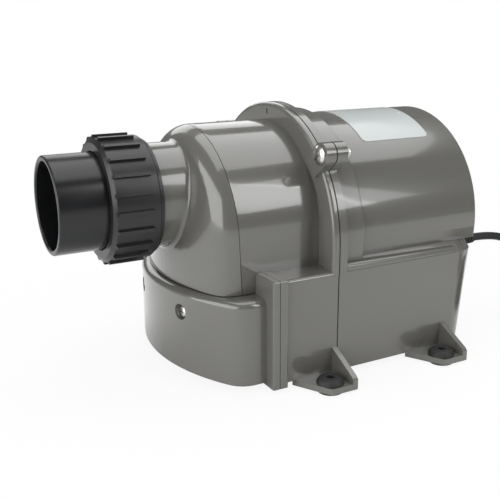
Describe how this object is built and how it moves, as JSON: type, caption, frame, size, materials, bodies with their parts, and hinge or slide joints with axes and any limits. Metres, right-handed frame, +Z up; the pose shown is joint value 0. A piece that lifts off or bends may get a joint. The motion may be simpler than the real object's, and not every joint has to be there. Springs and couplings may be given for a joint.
{
  "type": "air blower pump",
  "caption": "Grey moulded air blower on four rubber-bushed feet, with a domed outlet, a black ribbed union nut and pipe socket, and a cord with a plug.",
  "frame": {"origin": "on the surface that the grommets stand on, under the middle of the blower's length and width", "axes": "+Z up, -X out of the pipe socket, +Y to the side away from the cord"},
  "size_m": [0.4616, 0.3657, 0.1882],
  "materials": {
    "body_grey": "semi-gloss moulded",
    "union_black": "satin moulded",
    "tail_black": "smooth moulded",
    "rubber_black": "matt",
    "cord_black": "satin sheath",
    "screw_chrome": "bright plated",
    "steel": "turned",
    "lamination": "stamped stack",
    "fan_metal": "pressed",
    "bracket_metal": "cast",
    "copper": "enamelled wire and copper bars",
    "brass": "drawn tube",
    "carbon": "pressed carbon",
    "foam_grey": "open foam",
    "label_silver": "blank film",
    "block_white": "moulded",
    "case_black": "moulded"
  },
  "bodies": {
    "casing": {"front_housing": "body_grey", "outlet_cap": "body_grey", "front_tray": "body_grey", "rear_cover": "body_grey", "rear_base": "body_grey", "duct_baffle": "union_black", "nose_ring": "union_black", "flange_gasket": "rubber_black", "cap_seal": "rubber_black", "motor_carrier": "union_black", "fan_mount_ring": "rubber_black", "nose_boot": "rubber_black", "fan_case": "fan_metal", "fan_bracket": "bracket_metal", "diffuser": "fan_metal", "stator_core": "lamination", "field_coils": "copper", "nose_bracket": "bracket_metal", "brush_holders": "brass", "spring_top": "steel", "spring_bottom": "steel", "bearing_fan_end": "steel", "bearing_nose_end": "steel", "motor_bolts": "steel", "thermal_cutout": "case_black", "union_collar": "union_black", "union_o_ring": "rubber_black", "foot_grommets": "rubber_black", "flange_screws": "screw_chrome", "flange_nuts": "screw_chrome", "tray_screws": "screw_chrome", "base_screws": "steel", "cover_screws": "steel", "intake_grille": "body_grey", "foam_filter": "foam_grey", "silencer_foam": "foam_grey", "rating_label": "label_silver", "terminal_block": "block_white", "capacitor": "case_black", "cord_gland": "rubber_black", "power_cord": "cord_black", "cord_coil": "cord_black", "cord_tail": "cord_black", "supply_plug": "cord_black"},
    "rotor": {"rotor_shaft": "steel", "armature_core": "lamination", "armature_winding": "copper", "commutator": "copper", "impeller_first": "fan_metal", "impeller_second": "fan_metal", "shaft_spacer": "steel", "bearing_spacer": "steel", "impeller_nut": "steel"},
    "tail": {"tail_piece": "tail_black"},
    "nut": {"union_nut": "union_black"},
    "upper_brush": {"brush_top": "carbon"},
    "lower_brush": {"brush_bottom": "carbon"}
  },
  "joints": [
    {"name": "rotor_spin", "type": "hinge", "parent": "casing", "child": "rotor", "pos_m": [0, 0, 0.0958], "axis": [1, 0, 0], "continuous": true},
    {"name": "union_nut_turn", "type": "hinge", "parent": "tail", "child": "nut", "pos_m": [-0.1, 0, 0.1272], "axis": [-1, 0, 0], "range_deg": [0, 1980]},
    {"name": "union_draw", "type": "slide", "parent": "casing", "child": "tail", "axis": [-1, 0, 0], "range_m": [0, 0.022]},
    {"name": "upper_brush_slide", "type": "slide", "parent": "casing", "child": "upper_brush", "axis": [0, 0, 1], "range_m": [0, 0.004], "stiffness_N_per_m": 150, "springref_m": -0.015, "deforming": ["spring_top"]},
    {"name": "lower_brush_slide", "type": "slide", "parent": "casing", "child": "lower_brush", "axis": [0, 0, -1], "range_m": [0, 0.004], "stiffness_N_per_m": 150, "springref_m": -0.015, "deforming": ["spring_bottom"]}
  ],
  "couplings": [
    {"joint": "union_draw", "follows": "union_nut_turn", "m_per_rad": 0.00063662}
  ]
}
